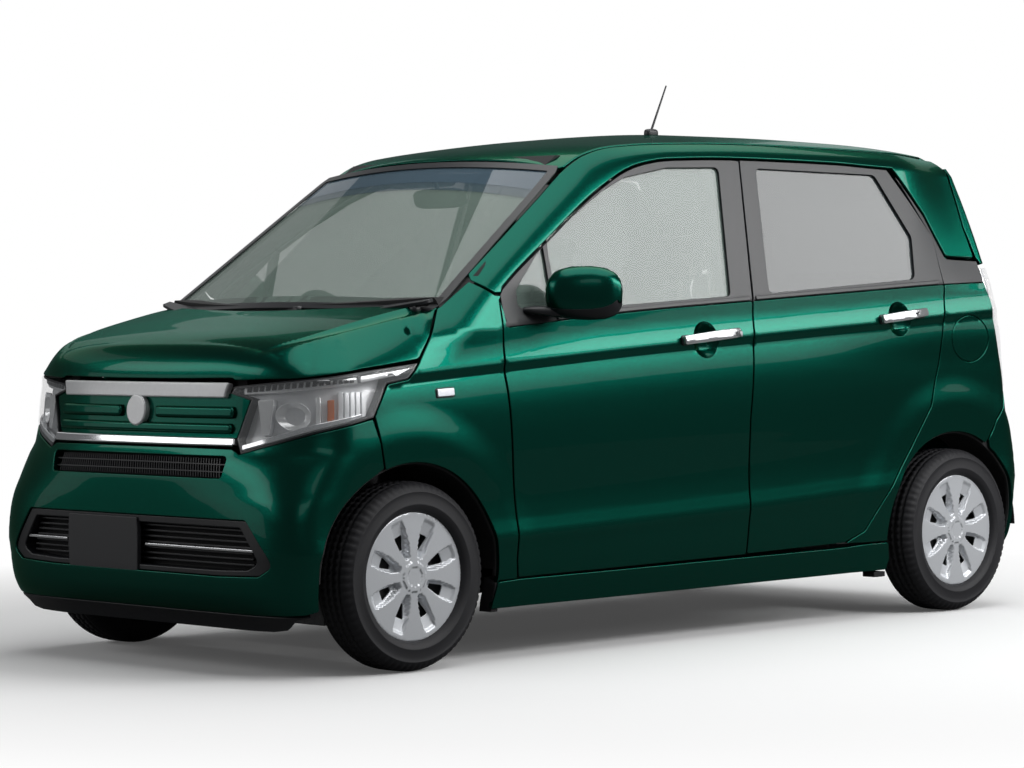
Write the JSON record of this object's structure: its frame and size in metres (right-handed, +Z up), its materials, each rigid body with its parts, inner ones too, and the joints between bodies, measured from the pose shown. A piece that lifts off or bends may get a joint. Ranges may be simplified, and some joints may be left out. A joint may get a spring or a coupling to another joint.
{
  "type": "kei car",
  "caption": "Short, tall hatchback car with a bonnet, side doors, a tailgate, seats and wheels that steer and roll.",
  "frame": {"origin": "on the ground, under the middle of the length and width", "axes": "+X to the tail (the nose points to -X), +Y to the car's right side, +Z up"},
  "size_m": [3.3962, 1.83, 1.7967],
  "materials": {
    "paint": "gloss",
    "trim": "satin",
    "gloss_trim": "gloss",
    "glass": "clear",
    "privacy_glass": "dark",
    "lamp": "clear",
    "chrome": "bright",
    "wheel_cover": "silver",
    "tyre": "rubber",
    "cabin_plastic": "grained",
    "seat_fabric": "woven",
    "steel": "plain",
    "cast": "rough",
    "under": "matt"
  },
  "bodies": {
    "body": {"floor_pan": "under", "bulkhead": "paint", "a_pillars": "paint", "hinge_pillars": "paint", "side_rails": "paint", "load_board": "trim", "b_pillars": "trim", "roof_panel": "paint", "quarter_panels": "paint", "front_fenders": "paint", "front_bumper": "paint", "grille": "gloss_trim", "lower_grille": "trim", "headlamps": "lamp", "tail_lamps": "lamp", "windscreen": "glass", "rear_bumper": "paint", "dashboard": "cabin_plastic", "steering_wheel": "cabin_plastic", "front_seats": "seat_fabric", "rear_seat": "seat_fabric", "hinges": "steel", "engine_block": "cast", "front_suspension": "steel", "rear_axle": "steel", "fuel_tank": "trim", "exhaust_pipe": "steel", "silencer": "steel", "antenna": "trim"},
    "door_front_left": {"door_front_left": "paint", "door_front_left_glass": "glass", "door_front_left_fittings": "paint"},
    "door_rear_left": {"door_rear_left": "paint", "door_rear_left_glass": "privacy_glass", "door_rear_left_fittings": "chrome"},
    "knuckle_left": {"knuckle_left": "cast"},
    "wheel_front_left": {"tyre_front_left": "tyre", "rim_front_left": "wheel_cover"},
    "wheel_rear_left": {"tyre_rear_left": "tyre", "rim_rear_left": "wheel_cover"},
    "door_front_right": {"door_front_right": "paint", "door_front_right_glass": "glass", "door_front_right_fittings": "paint"},
    "door_rear_right": {"door_rear_right": "paint", "door_rear_right_glass": "privacy_glass", "door_rear_right_fittings": "chrome"},
    "knuckle_right": {"knuckle_right": "cast"},
    "wheel_front_right": {"tyre_front_right": "tyre", "rim_front_right": "wheel_cover"},
    "wheel_rear_right": {"tyre_rear_right": "tyre", "rim_rear_right": "wheel_cover"},
    "bonnet": {"bonnet": "paint"},
    "tailgate": {"tailgate": "paint", "tailgate_glass": "privacy_glass"}
  },
  "joints": [
    {"name": "door_front_left_hinge", "type": "hinge", "parent": "body", "child": "door_front_left", "pos_m": [-0.8435, -0.7375, 0.6], "axis": [0, 0, -1], "range_deg": [0, 65]},
    {"name": "door_rear_left_hinge", "type": "hinge", "parent": "body", "child": "door_rear_left", "pos_m": [0.2245, -0.7375, 0.6], "axis": [0, 0, -1], "range_deg": [0, 70]},
    {"name": "steer_left", "type": "hinge", "parent": "body", "child": "knuckle_left", "pos_m": [-1.2125, -0.6, 0.2785], "axis": [0, 0, 1], "range_deg": [-35, 35]},
    {"name": "spin_front_left", "type": "hinge", "parent": "knuckle_left", "child": "wheel_front_left", "pos_m": [-1.2125, -0.65, 0.2785], "axis": [0, 1, 0], "continuous": true},
    {"name": "spin_rear_left", "type": "hinge", "parent": "body", "child": "wheel_rear_left", "pos_m": [1.3075, -0.65, 0.2785], "axis": [0, 1, 0], "continuous": true},
    {"name": "door_front_right_hinge", "type": "hinge", "parent": "body", "child": "door_front_right", "pos_m": [-0.8435, 0.7375, 0.6], "axis": [0, 0, 1], "range_deg": [0, 65]},
    {"name": "door_rear_right_hinge", "type": "hinge", "parent": "body", "child": "door_rear_right", "pos_m": [0.2245, 0.7375, 0.6], "axis": [0, 0, 1], "range_deg": [0, 70]},
    {"name": "steer_right", "type": "hinge", "parent": "body", "child": "knuckle_right", "pos_m": [-1.2125, 0.6, 0.2785], "axis": [0, 0, 1], "range_deg": [-35, 35]},
    {"name": "spin_front_right", "type": "hinge", "parent": "knuckle_right", "child": "wheel_front_right", "pos_m": [-1.2125, 0.65, 0.2785], "axis": [0, 1, 0], "continuous": true},
    {"name": "spin_rear_right", "type": "hinge", "parent": "body", "child": "wheel_rear_right", "pos_m": [1.3075, 0.65, 0.2785], "axis": [0, 1, 0], "continuous": true},
    {"name": "bonnet_hinge", "type": "hinge", "parent": "body", "child": "bonnet", "pos_m": [-1.0365, 0, 1.0945], "axis": [0, 1, 0], "range_deg": [0, 50]},
    {"name": "tailgate_hinge", "type": "hinge", "parent": "body", "child": "tailgate", "pos_m": [1.3745, 0, 1.6146], "axis": [0, -1, 0], "range_deg": [0, 80]}
  ],
  "couplings": [
    {"joint": "steer_right", "follows": "steer_left", "ratio": 1}
  ]
}
